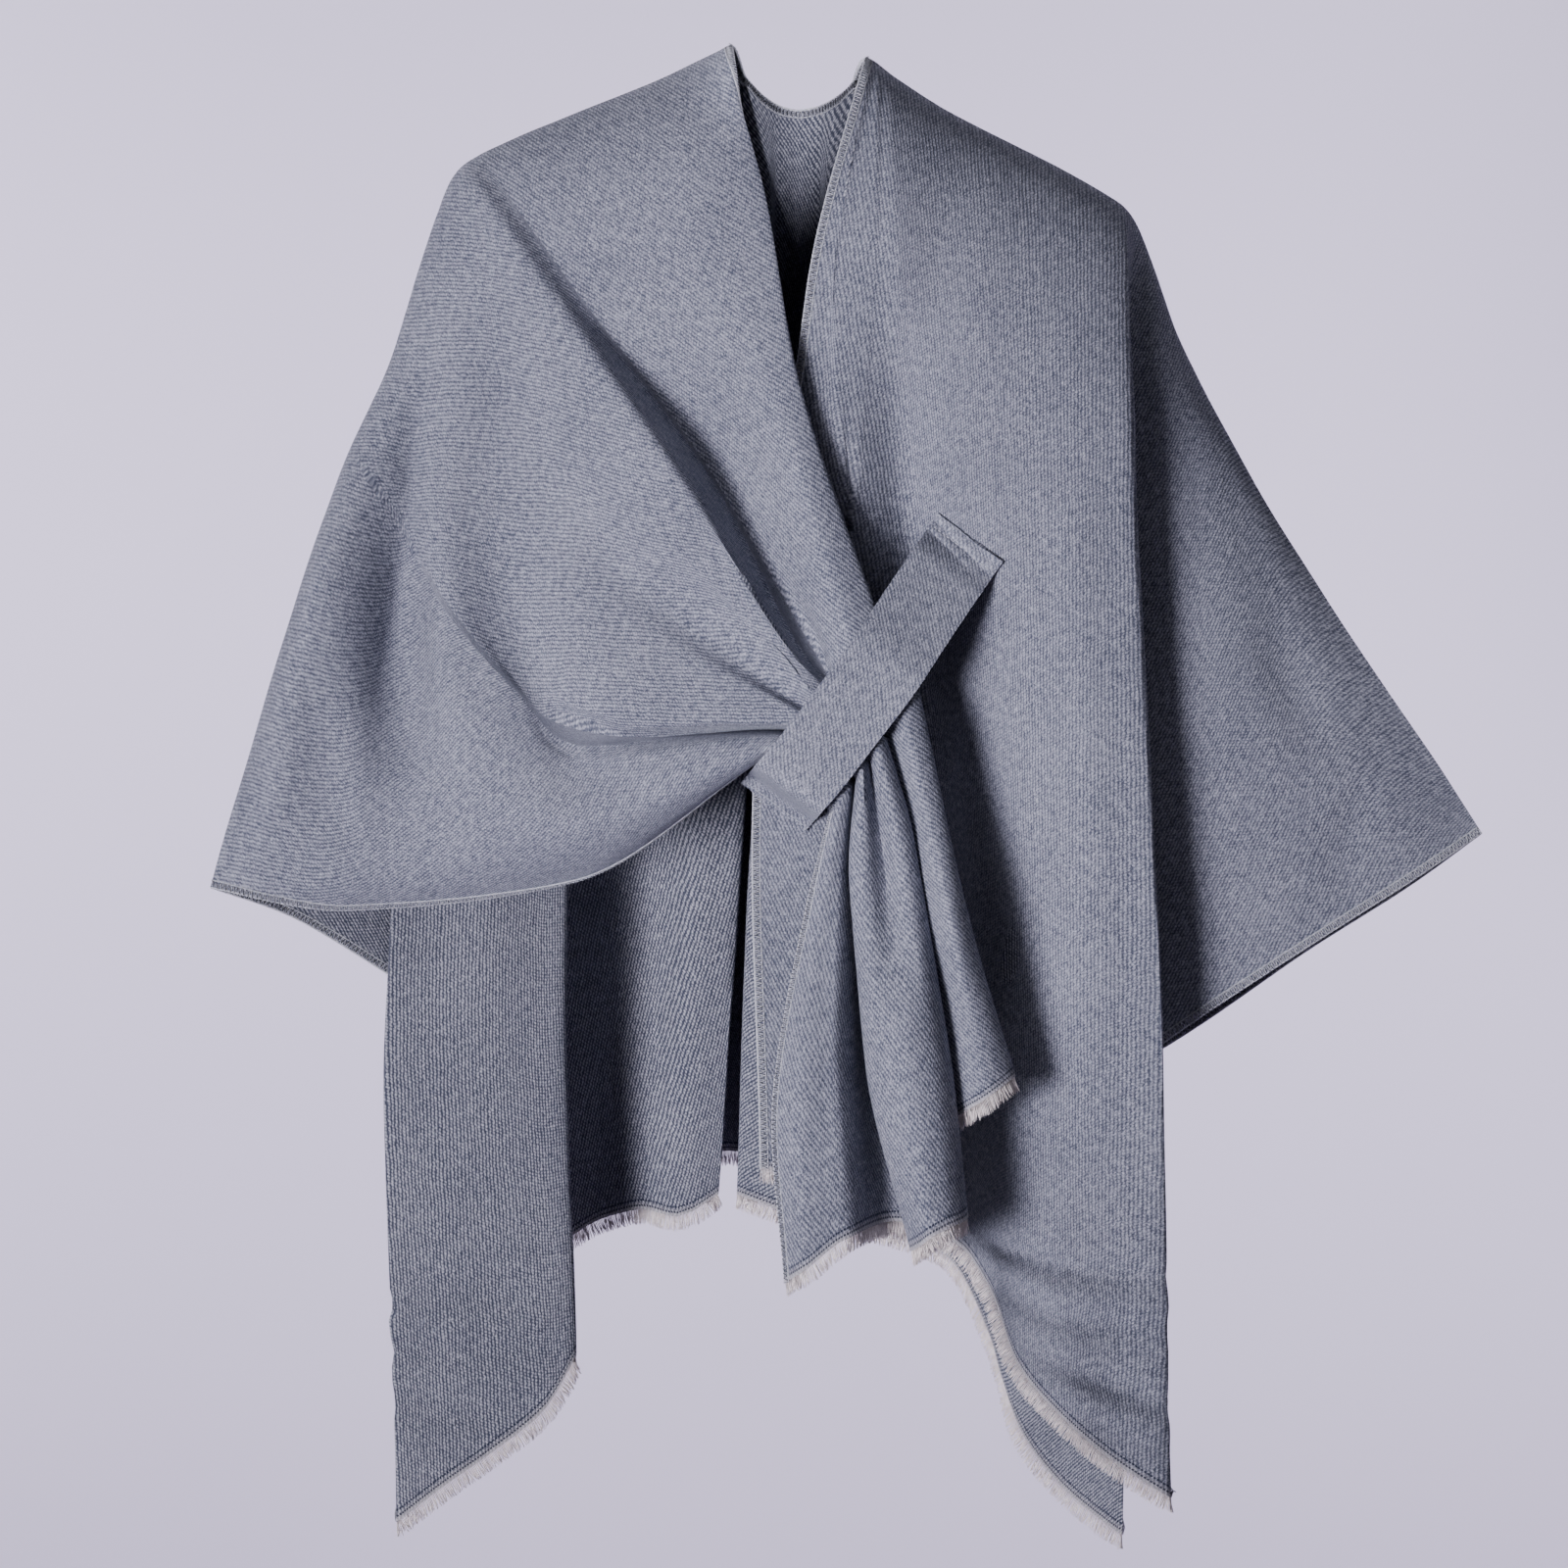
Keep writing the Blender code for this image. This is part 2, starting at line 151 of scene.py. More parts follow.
def smoothThrough(knots, values, where):
    knots, values = np.asarray(knots, float), np.asarray(values, float)
    step = np.diff(knots)
    shape = (-1,) + (1,) * (values.ndim - 1)
    slope = np.diff(values, axis=0) / step.reshape(shape)
    near = (2 * step[1:] + step[:-1]).reshape(shape)
    far = (step[1:] + 2 * step[:-1]).reshape(shape)
    product = slope[:-1] * slope[1:]
    sameWay = product > 1e-12      # no overshoot where the slope changes its sign
    blend = np.where(sameWay, near * slope[1:] + far * slope[:-1], 1)
    inner = np.where(sameWay, (near + far) * product / blend, 0)
    tangent = np.concatenate((slope[:1], inner, slope[-1:]))
    where = np.asarray(where, float)
    i = np.clip(np.searchsorted(knots, where, side="right") - 1, 0, len(step) - 1)
    h = step[i].reshape(shape)
    t = ((where - knots[i]) / step[i]).reshape(shape)
    return ((2 * t**3 - 3 * t**2 + 1) * values[i] + (t**3 - 2 * t**2 + t) * h * tangent[i]
            + (3 * t**2 - 2 * t**3) * values[i + 1] + (t**3 - t**2) * h * tangent[i + 1])


def unit(vectors):
    return vectors / np.maximum(np.linalg.norm(vectors, axis=-1, keepdims=True), 1e-9)


def foldPoint(s):
    table = np.array(leftFold if s > 0 else rightFold, float)
    return smoothThrough(table[:, 0], table[:, 1:], [abs(s)])[0]


def backStart(s):
    if abs(s) >= wrap["neckHalf"]:
        return foldPoint(s)
    neck = foldPoint(math.copysign(wrap["neckHalf"], s))
    scoop = math.cos(0.5 * math.pi * s / wrap["neckHalf"])
    y = neck[1] + (wrap["backNeck"][0] - neck[1]) * scoop
    z = neck[2] + (wrap["backNeck"][1] - neck[2]) * scoop**0.6
    return np.array([s, y, z])


def foldLine(start, end, bows, depths, places, flatStart, flatEnd):
    overShoulder = abs(flatStart[0]) >= wrap["neckHalf"] - wrap["turnTop"]
    start, end = np.asarray(start, float), np.asarray(end, float)
    stations = (0, wrap["chest"], wrap["waist"], 1)
    run = (end - start)[[0, 2]]
    side = np.array([-run[1], run[0]]) / np.hypot(*run)
    bow = smoothThrough(stations, (0, *bows, 0), places)
    flat = start[[0, 2]] + np.outer(places, run) + np.outer(bow, side)
    hang = smoothThrough(stations, (depths[0], *depths, end[1]), places)
    near = np.clip(places / wrap["chest"], 0, 1)
    near = np.sqrt(near * (2 - near)) if overShoulder else near
    crown = start[1] + (depths[0] - start[1]) * near
    depth = np.where(places < wrap["chest"], crown, hang)
    cut = np.asarray(flatStart, float) + np.outer(places, np.subtract(flatEnd, flatStart))
    return np.column_stack((flat[:, 0], depth, flat[:, 1], cut))


def placesAlong(count, bunch):
    return np.linspace(0, 1, count) ** bunch


def closeEnds(count):
    # closer together at the top and at the hem
    place = np.linspace(0, 1, count)
    return 0.45 * place + 0.275 * (1 - np.cos(math.pi * place))


def across(lines, step):
    # grid with columns about a step apart through the lines, and each line's own column
    lines = np.array(lines)
    gap = np.linalg.norm(np.diff(lines[:, :, :3], axis=0), axis=2)
    knots = np.concatenate(([0], np.cumsum(np.sqrt(gap.mean(axis=1)))))
    where, column = [], []
    for i, width in enumerate(np.quantile(gap, 0.7, axis=1)):
        count = int(np.clip(round(width / step), 2, 16))
        column.append(len(where))
        where.extend(knots[i] + (knots[i + 1] - knots[i]) * np.arange(count) / count)
    column.append(len(where))
    return smoothThrough(knots, lines, where + [knots[-1]]), column


def trueWidths(grid, bands, side=-1):
    # cloth keeps its width within each band, and the rest is lost in the folds between them
    for anchor, first, last in bands:
        for way, end in ((-1, first), (1, last)):
            i = anchor
            while i != end:
                wide = np.linalg.norm(grid[i + way, :, :3] - grid[i, :, :3], axis=1)
                grid[i + way, :, 3] = grid[i, :, 3] + side * way * wide
                i += way


def gridNormals(grid):
    return unit(np.cross(np.gradient(grid[:, :, :3], axis=0), np.gradient(grid[:, :, :3], axis=1)))


crease = dict(endFade=0.7, waveAcross=70, waveDown=95, shoulderClear=30)    # none at the shoulder fold


def press(grid, creases, way):
    # soft troughs (depth below 0) and ridges, each along a line seen from the front
    normals = gridNormals(grid) * way
    rise = np.zeros(grid.shape[:2])
    for low, high, depth, width, path in creases:
        path = np.array(path, float)
        best = np.full(grid.shape[:2], 1e9)
        along = np.zeros(grid.shape[:2])
        length = np.linalg.norm(np.diff(path, axis=0), axis=1)
        for i, (a, b) in enumerate(zip(path, path[1:])):
            spot = ((grid[:, :, [0, 2]] - a) @ (b - a)) / length[i] ** 2
            at = np.clip(spot, 0, 1)
            away = np.linalg.norm(grid[:, :, [0, 2]] - a - at[:, :, None] * (b - a), axis=2)
            along = np.where(away < best, (length[:i].sum() + at * length[i]) / length.sum(), along)
            best = np.minimum(best, away)
        fade = np.sin(np.pi * np.clip(along, 0.02, 0.98)) ** crease["endFade"]
        inside = (grid[:, :, 3] >= low) & (grid[:, :, 3] <= high)
        rise += np.where(inside, depth * fade * np.exp(-(best / width) ** 2), 0)
    rise *= np.clip(np.abs(grid[:, :, 4]) / crease["shoulderClear"], 0, 1)
    for i in range(grid.shape[0]):
        for j in range(grid.shape[1]):
            s, t = grid[i, j, 3] / crease["waveAcross"], grid[i, j, 4] / crease["waveDown"]
            rise[i, j] += wrap["undulation"] * noise.noise(Vector((s, t, 3.0)))
    out = grid.copy()
    out[:, :, :3] += normals * rise[:, :, None]
    return out


# s on the shoulder fold, end x, y, z, two bows, two depths, turn, end of the line on the flat cut
leftFront = (
    (41, -23, -78, -681, -22, -27, -88, -64, 0, 0, 705),          # front edge
    (44, 32, -71, -688, -21, -27, -90, -66, 0, 75, 705),
    (47, 76, -60, -698, -30, -21, -92, -66, -2.4, 200, 705),      # turn under
    (51, 8, -84, -706, 5, -4, -93, -75, -2.4, 310, 705),
    (55, 46, -79, -714, 4, -2, -94, -75, 0, 360, 705),
    (59, 92, -88, -724, -1, 4, -95, -72, 0, 416, 705),            # front panel
    (100, 116, -93, -754, 0, 0, -95, -67, 0, 491, 705),
    (137, 132, -95, -798, 0, 0, -95, -73, 0, 552, 705),
    (176, 160, -97, -832, 0, 0, -93, -86, 0, 608, 705),
    (203, 190, -87, -858, 0, 2, -88, -94, 0, 652, 705),
    (219, 225, -70, -881, 0, 4, -79, -91, 2.8, 688, 705),         # ridge to the corner
    (229, 148, -76, -778, 0, 0, -63, -82, 0, 688, 554),
    (239, 100, -60, -682, 0, 0, -52, -65, 2.8, 688, 426),         # hidden turn
    (250, 152, -54, -655, 0, 0, -44, -57, 0, 688, 326),           # wing
    (263, 236, -46, -595, 0, 0, -40, -49, 0, 688, 217),
    (284, 313, -32, -545, -3, -6, -29, -37, 0, 688, 125),
    (312, 377, -14, -505, -4, -8, -14, -18, 0, 688, 49),
)
backFolds = (
    (-300, -315, 16, -527, 0, 0, 13, 14, 0, -688, -49),           # right wing
    (-271, -254, 50, -564, 0, 0, 34, 42, 0, -688, -125),
    (-255, -202, 94, -600, 0, 0, 50, 74, 0, -688, -217),
    (-241, -150, 112, -645, 0, 0, 57, 88, -2.8, -688, -326),
    (-228, -202, 76, -765, 0, 0, 45, 60, 0, -688, -510),
    (-215, -246, 30, -901, -8, -23, 33, 33, -2.8, -688, -705),    # right corner
    (-176, -219, 25, -880, 0, -20, 44, 35, 0, -650, -705),
    (-130, -189, 27, -859, 0, -22, 58, 40, 0, -613, -705),
    (-95, -155, 32, -831, 0, -28, 69, 46, 0, -572, -705),
    (-72, -138, 42, -800, 0, -30, 76, 54, 2.8, -540, -705),
    (-60, -190, 60, -766, 6, -8, 84, 68, 2.8, -450, -705),
    (-50, -122, 120, -718, 0, 0, 100, 118, 0, -350, -705),
    (-41, -97, 112, -712, 0, 0, 100, 112, 0, -320, -705),
    (-33, -75, 92, -716, 0, 0, 96, 94, 0, -295, -705),
    (-23, -50, 97, -702, 12, 7, 93, 96, 2.4, -262, -705),         # pleat
    (-12, -98, 150, -692, 11, -2, 110, 136, 2.4, -130, -705),
    (0, -44, 198, -678, 6, 0, 130, 172, 0, 0, -705),
    (12, 14, 150, -690, 0, 0, 110, 136, -2.4, 130, -705),
    (23, -38, 97, -702, 2, -11, 93, 96, -2.4, 262, -705),
    (33, 10, 84, -718, 4, 0, 92, 86, 0, 314, -705),
    (41, 48, 97, -724, 2, 0, 90, 96, 0, 360, -705),
    (62, 92, 84, -740, 0, 0, 84, 88, 0, 415, -705),
    (92, 118, 60, -788, 0, 0, 75, 70, 0, 485, -705),
    (132, 136, 44, -844, 0, 0, 60, 54, 0, 555, -705),
    (178, 162, 36, -880, 0, 2, 45, 44, 0, 620, -705),
    (215, 198, 30, -909, 0, 4, 33, 35, 2.8, 688, -705),           # left corner
    (228, 152, 62, -770, 0, 0, 44, 54, 0, 688, -520),
    (240, 128, 84, -668, 0, 0, 56, 70, 2.8, 688, -370),
    (254, 239, 44, -601, 0, 0, 48, 54, 0, 688, -217),
    (270, 312, 28, -550, -3, -6, 32, 38, 0, 688, -125),
    (300, 376, 18, -509, -5, -10, 15, 20, 0, 688, -49),
)
# where the right front passes under the strap
knot = dict(
    top=(59, -371), bottom=(3, -446), strapWidth=49,
    rows=70, tailRows=58,
    under=(0, 8, 16),       # cloth lines hidden by the strap, from its middle
    flatIn=384,             # t of the cloth where its neck edge goes in
    flatMore=30,            # and how much further its side edge does
    flatUnder=424,
    flatOut=448,
)
# s, place across the strap, depth there, two bows, two depths, flat s under the strap
rightFront = (
    (41, .18, -108, -5, -18, -74, -101, 0),         # neck edge
    (48, -.14, -112, 2, -9, -83, -106, 25),         # lapel turn
    (84, .12, -123, 1, 4, -86, -110, 90),
    (184, .33, -117, 6, 22, -65, -84, 170),
    (204, .38, -109, 2, 10, -58, -68, 205),         # deep valley
    (221, .43, -119, 0, 0, -68, -114, 235),
    (250, .52, -124, -1, -12, -62, -107, 290),      # middle band
    (290, .62, -112, -11, -30, -48, -84, 350),
    (340, .67, -119, -10, -31, -48, -88, 400),
    (386, .74, -117, -35, -72, -54, -95, 440),
    (400, .79, -90, -38, -76, -53, -94, 460),       # dark gap
    (418, .84, -118, -42, -80, -52, -96, 480),
    (520, .90, -124, -66, -74, -52, -100, 640),     # bottom roll
    (640, .95, -114, -50, -56, -38, -75, 640),
    (688, .90, -105, -34, -50, -23, -52, 688),      # side edge
)
# place across the strap, end x, y, z, two bows, two depths, flat s at the hem
rightTail = (
    (.18, 112, -112, -630, -6, -6, -107, -114, 0),      # front edge, turned behind
    (.11, 130, -125, -624, -2, -4, -115, -126, 22),     # short pleat
    (.27, 113, -142, -637, 1, 1, -124, -142, 46),
    (.42, 93, -124, -650, 5, 5, -113, -123, 70),
    (.50, 74, -112, -668, 4, 6, -107, -111, 100),       # hidden turn
    (.47, 101, -136, -708, 6, 6, -118, -134, 132),      # long pleat
    (.56, 89, -156, -715, 5, 5, -127, -152, 158),
    (.65, 80, -159, -720, 1, 0, -116, -157, 170),       # wedge under the strap
    (.72, 74, -152, -725, -6, -8, -127, -151, 182),
    (.78, 68, -136, -729, -11, -14, -119, -134, 205),
    (.72, 86, -118, -716, -2, -8, -109, -116, 240),     # hidden turn
    (.80, 58, -110, -712, -4, -4, -107, -109, 570),
    (.87, 27, -150, -722, -6, -8, -122, -149, 612),     # wide pleat
    (.95, 5, -152, -739, -6, -10, -124, -150, 645),
    (1.04, -8, -138, -748, -10, -18, -116, -135, 688),  # side edge
)


def knotPoint(at, y, shift):
    top = np.array(knot["top"], float)
    line = np.array(knot["bottom"], float) - top
    run = np.array([-line[1], line[0]]) / np.hypot(*line)
    x, z = top + line * at + run * shift
    return np.array([x, y, z])


def turnedLines(rows, topOf, places):
    lines = []
    for s, x, y, z, bow1, bow2, y1, y2, turn, flatS, flatT in rows:
        for way in ((-1, 1) if turn else (0,)):
            start = s + way * wrap["turnTop"]
            ends = (flatS + (wrap["turnFlat"] * way if abs(flatS) < wrap["halfWidth"] else 0), flatT)
            line = foldLine(topOf(start), (x, y, z), (bow1, bow2), (y1, y2), places, (start, 0), ends)
            shut = wrap["flapShut"] if s in wrap["flap"] else 0
            line[:, 1] += way * turn * np.clip((places - shut) / wrap["turnOpen"], 0, 1)
            lines.append(line)
    return lines


def wingTop(way, places):
    reach = way * (wrap["wingTop"] + (wrap["halfWidth"] - wrap["wingTop"]) * places)
    return np.array([(*foldPoint(s), s, 0) for s in reach])


places = closeEnds(wrap["rows"])
leftLines = turnedLines(leftFront, foldPoint, places) + [wingTop(1, places)]
leftGrid, fold = across(leftLines, wrap["step"])
panelEdge = fold[7]     # the line at s 59: two of the lines before it are turns, which count twice
trueWidths(leftGrid, ((panelEdge, 0, panelEdge),), 1)
backLines = [wingTop(-1, places)] + turnedLines(backFolds, backStart, places) + [wingTop(1, places)]
backGrid, _ = across(backLines, wrap["step"] * 1.5)

places = placesAlong(knot["rows"], 1.15)
rightLines = []
for count, (s, at, y, bow1, bow2, y1, y2, flatS) in enumerate(rightFront):
    t = knot["flatIn"] + knot["flatMore"] * count / (len(rightFront) - 1)
    line = foldLine(foldPoint(-s), knotPoint(at, y, -knot["strapWidth"] / 2), (bow1, bow2), (y1, y2),
                    places, (-s, 0), (-flatS, t))
    under = [(*knotPoint(at, y, -shift), -flatS, t - shift + knot["strapWidth"] / 2)
             for shift in reversed(knot["under"])]
    rightLines.append(np.vstack((line, under)))
rightGrid, fold = across(rightLines, wrap["step"] * 0.9)
column = dict(zip([row[0] for row in rightFront], fold))       # of each line, by its s
trueWidths(rightGrid, ((column[84], 0, column[204]), (column[250], column[204] + 1, column[400]),
                       (column[520], column[400] + 1, column[688])))
rightCrest = column[250]

places = placesAlong(knot["tailRows"], 1.2)
tailLines = []
for at, x, y, z, bow1, bow2, y1, y2, flatS in rightTail:
    line = foldLine(knotPoint(at, y1, knot["strapWidth"] / 2), (x, y, z), (bow1, bow2), (y1, y2),
                    places, (-flatS, knot["flatOut"]), (-flatS, wrap["halfLength"]))
    under = [(*knotPoint(at, y1, shift), -flatS, knot["flatUnder"] + shift) for shift in knot["under"]]
    tailLines.append(np.vstack((under, line)))
tailGrid, fold = across(tailLines, wrap["step"] * 0.75)
column = dict(zip([row[-1] for row in rightTail], fold))       # of each line, by its flat s
trueWidths(tailGrid, ((0, 0, column[100]), (column[170], column[100] + 1, column[240]),
                      (column[688], column[240] + 1, column[688])))
tailCrest = column[158]
print("cloth grids", [g.shape[:2] for g in (leftGrid, backGrid, rightGrid, tailGrid)])

# from s, to s, depth, width, line of x, z
leftCreases = (
    (41, 300, 10, 22, ((-2, -190), (14, -252), (29, -305))),
    (41, 560, -17, 20, ((58, -150), (62, -256), (73, -330), (84, -420))),
    (300, 688, -6.5, 6.5, ((76, -690), (104, -722), (154, -740), (225, -747))),
    (300, 688, 5, 7, ((88, -700), (118, -738), (160, -757), (225, -763))),
    (300, 688, -6, 6.5, ((120, -752), (155, -772), (190, -777), (225, -779))),
    (300, 688, -5.5, 6.5, ((138, -794), (180, -808), (225, -826))),
    (300, 688, 4, 7, ((150, -812), (185, -826), (225, -842))),
    (300, 688, -3, 16, ((285, -340), (300, -385), (318, -430))),
    (300, 688, -3, 18, ((120, -300), (112, -420), (118, -560), (112, -680))),
    (300, 688, 3, 16, ((160, -240), (172, -420), (170, -600), (178, -760))),
    (300, 688, -2.5, 14, ((350, -440), (335, -480), (330, -520))),
    (60, 300, -2.5, 16, ((90, -80), (84, -150), (92, -230))),
)
rightCreases = (
    (-900, 0, -20, 26, ((-184, -280), (-178, -345), (-160, -395), (-138, -432), (-112, -452))),
    (-900, 0, -8, 13, ((-98, -310), (-61, -341), (-25, -365), (14, -392))),
    (-900, 0, -9, 24, ((-78, -285), (-44, -328), (-8, -356), (22, -380))),
    (-900, 0, -26, 21, ((-234, -205), (-244, -290), (-246, -370), (-238, -460))),
    (-900, 0, 30, 28, ((-264, -236), (-289, -325), (-314, -405), (-338, -490))),
    (-900, 0, 4, 18, ((-222, -240), (-224, -320), (-222, -400))),
    (-900, 0, -6, 16, ((-291, -328), (-293, -400), (-290, -478))),
    (-900, 0, -6, 18, ((-205, -88), (-196, -125), (-180, -180))),
    (-900, 0, -3, 16, ((-225, -148), (-236, -210), (-243, -268))),
    (-900, 0, -2.5, 9, ((-285, -450), (-276, -480), (-262, -506))),
    (-900, 0, 3, 14, ((-222, -330), (-214, -380), (-200, -430))),
    (-900, 0, 2.5, 14, ((-275, -300), (-276, -380), (-268, -440))),
)
backCreases = (
    (-688, -540, 5.5, 6.5, ((-262, -770), (-200, -765), (-136, -761))),
    (-688, -540, -4.5, 7, ((-260, -782), (-200, -780), (-138, -775))),
    (-688, -540, 5.5, 6.5, ((-260, -794), (-200, -797), (-136, -790))),
    (-688, -540, 4.5, 6.5, ((-256, -826), (-200, -836), (-150, -828))),
    (-688, -300, -4, 22, ((-205, -180), (-190, -300), (-200, -460), (-190, -600))),
    (-600, -300, 4, 20, ((-160, -150), (-140, -330), (-150, -520))),
    (100, 688, -4, 20, ((80, -120), (100, -300), (96, -480), (104, -640))),
    (300, 688, 4, 18, ((150, -160), (160, -340), (150, -560), (158, -720))),
    (500, 688, -3, 9, ((120, -800), (160, -812), (205, -806))),
    (500, 688, 2.5, 8, ((130, -830), (165, -842), (205, -838))),
    (300, 688, -3, 15, ((300, -300), (320, -380), (345, -450))),
    (-688, -300, -3, 15, ((-285, -300), (-300, -380), (-310, -450))),
)
tailCreases = (
    (-900, 0, -2.5, 9, ((16, -520), (20, -600), (14, -680))),
    (-900, 0, -2.5, 8, ((96, -560), (104, -610), (112, -640))),
)


def columnNear(grid, s, row):
    return int(np.argmin(np.abs(grid[:, row, 3] - s)))


def pressed(grid, column, toFront, creases):
    # grid with its creases and its outward normals: the column's middle faces the front or the back
    middle = gridNormals(grid)[column, grid.shape[1] // 2, 1]
    way = 1 if (middle < 0) == toFront else -1
    grid = press(grid, creases, way)
    return grid, gridNormals(grid) * way


leftGrid, leftOut = pressed(leftGrid, columnNear(leftGrid, 552, -1), True, leftCreases)
rightGrid, rightOut = pressed(rightGrid, rightCrest, True, rightCreases)
backGrid, backOut = pressed(backGrid, columnNear(backGrid, 620, -1), False, backCreases)
tailGrid, tailOut = pressed(tailGrid, tailCrest, True, tailCreases)


neckInside = dict(below=300, fade=60, reach=90, lean=1.8)


def neckGrain(grid):
    # the twill of the inner face leans the other way round the back of the neck
    flat = grid[:, :, 3:].copy()
    near = np.clip((grid[:, :, 2] + neckInside["below"]) / neckInside["fade"], 0, 1)
    near = near * (grid[:, :, 4] < 0) * (np.abs(flat[:, :, 0]) < neckInside["reach"])
    flat[:, :, 0] *= 1 - neckInside["lean"] * near
    return flat.reshape(-1, 2)


def clothShell(name, stretches, thickness, materials):
    # outer face, inner face and rim of each stretch: the first material outside, the second inside
    points, flats, quads, faces = [], [], [], []
    base = 0
    for grid, out in stretches:
        columns, rows = grid.shape[:2]
        count = columns * rows
        points.append((grid[:, :, :3] + out * thickness / 2).reshape(-1, 3))
        points.append((grid[:, :, :3] - out * thickness / 2).reshape(-1, 3))
        flats.extend((grid[:, :, 3:].reshape(-1, 2), neckGrain(grid)))
        index = np.arange(count).reshape(columns, rows) + base
        cells = np.stack((index[:-1, :-1], index[1:, :-1], index[1:, 1:], index[:-1, 1:]), axis=-1)
        cells = cells.reshape(-1, 4)
        toNextColumn = grid[1:, :-1, :3] - grid[:-1, :-1, :3]
        toNextRow = grid[:-1, 1:, :3] - grid[:-1, :-1, :3]
        same = (np.cross(toNextColumn, toNextRow) * out[:-1, :-1]).sum(axis=2).mean() > 0
        near = cells if same else cells[:, ::-1]
        quads.extend((near, near[:, ::-1] + count))
        faces.extend((np.zeros(len(cells), int), np.ones(len(cells), int)))
        rim = np.concatenate((index[:-1, 0], index[-1, :-1], index[:0:-1, -1], index[0, :0:-1]))
        turn = np.roll(rim, -1)
        wall = np.stack((turn, rim, rim + count, turn + count), axis=1)
        quads.append(wall if same else wall[:, ::-1])
        faces.append(np.zeros(len(rim), int))
        base += 2 * count
    points, flats = np.concatenate(points) * mm, np.concatenate(flats) * mm
    quads, faces = np.concatenate(quads), np.concatenate(faces)
    mesh = bpy.data.meshes.new(name)
    mesh.from_pydata(points.tolist(), [], quads.tolist())
    for material in materials:
        mesh.materials.append(material)
    mesh.polygons.foreach_set("material_index", faces)
    mesh.uv_layers.new(name="flat").data.foreach_set("uv", flats[quads.reshape(-1)].reshape(-1))
    mesh.shade_smooth()
    mesh.set_sharp_from_angle(angle=math.radians(60))
    piece = bpy.data.objects.new(name, mesh)
    bpy.context.scene.collection.objects.link(piece)
    print(name, len(quads) * 2, "triangles")
    return piece


# twill

twill = dict(
    spacing=2.2,                              # mm between ribs
    angle=58,
    outerDark=(0.048, 0.057, 0.088, 1), outerLight=(0.440, 0.455, 0.530, 1),
    innerDark=(0.044, 0.052, 0.080, 1), innerLight=(0.500, 0.512, 0.580, 1),
    hemThread=(0.010, 0.016, 0.035, 1), hemPale=(0.620, 0.590, 0.600, 1),
    hemRows=(2.6, 5.8),                       # mm above the hem
    hemDash=1.9,
    hemFade=6.0,
)


def twillFinish(name, dark, light, ribShare, fuzz, level, seed):
    cloth = Finish(name)
    flat = cloth.add("ShaderNodeUVMap", {"uv_map": "flat"})
    s = cloth.add("ShaderNodeSeparateXYZ", None, (flat,), 0) * 1000
    t = cloth.add("ShaderNodeSeparateXYZ", None, (flat,), 1) * 1000
    slope = math.radians(twill["angle"])
    drift = cloth.speckle(s / 22, t / 22, 2, 0.5, seed) * 0.9
    drift = drift + cloth.speckle(s / 2.6, t / 2.6, 1, 0.5, seed + 1) * 0.7
    phase = (s * math.sin(slope) - t * math.cos(slope)) / twill["spacing"] + drift
    run = s * math.cos(slope) + t * math.sin(slope)
    rib = phase.wave()
    lump = (run / 2.1 + phase * 0.55).wave()
    fibre = cloth.speckle(s / 0.7, t / 1.0, 2, 0.6, seed + 2)
    fleck = cloth.speckle(s / 1.5, t / 2.2, 1, 0.5, seed + 6).smooth(0.56, 0.70)
    streak = cloth.speckle(s / 0.9, t / 6, 1, 0.5, seed + 3)
    mottle = cloth.speckle(s / 5, t / 5, 3, 0.6, seed + 4)
    cloud = cloth.speckle(s / 60, t / 60, 2, 0.5, seed + 5)
    yarn = rib * (0.45 + 0.55 * lump)
    shade = (yarn * ribShare + (fibre - 0.5) * fuzz + (streak - 0.5) * fuzz * 0.5 + fleck * 0.22
             + (mottle - 0.5) * fuzz * 0.6 + (cloud - 0.5) * 0.18 + level)
    shade = shade.smooth(0.0, 1.0)
    colour = cloth.mix(shade, dark, light)
    below = wrap["halfLength"] - t.abs()      # distance from the hem
    pale = 1 - below.smooth(0.3, twill["hemFade"])
    colour = cloth.mix(pale * 0.45, colour, twill["hemPale"])
    dash = (s / twill["hemDash"]).wave().smooth(0.1, 0.35)
    lower, upper = (1 - (below - row).abs().smooth(0.45, 0.8) for row in twill["hemRows"])
    colour = cloth.mix((lower + upper) * dash * 0.9, colour, twill["hemThread"])
    height = yarn * 0.8 + fibre * 0.5 + mottle * 0.3
    bump = cloth.add("ShaderNodeBump", None, {"Strength": 0.6, "Distance": 0.0006, "Height": height})
    return cloth.surface(Base_Color=colour, Normal=bump, Roughness=0.86 + fibre * 0.1,
                         Sheen_Weight=0.22, Sheen_Roughness=0.45, Sheen_Tint=(0.80, 0.86, 1.0, 1),
                         Specular_IOR_Level=0.2)


outerTwill = twillFinish("outerTwill", twill["outerDark"], twill["outerLight"],
                         ribShare=0.46, fuzz=1.0, level=0.20, seed=1.0)
innerTwill = twillFinish("innerTwill", twill["innerDark"], twill["innerLight"],
                         ribShare=0.74, fuzz=0.85, level=0.04, seed=9.0)
wrapCloth = clothShell("wrapCloth", ((leftGrid, leftOut), (rightGrid, rightOut), (backGrid, backOut),
                                     (tailGrid, tailOut)), wrap["thickness"], (outerTwill, innerTwill))
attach(wrapCloth, "root")
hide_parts("back_panel", "left_front", "right_front", "right_front_tail")


# threads: overlock, fringe and stitches

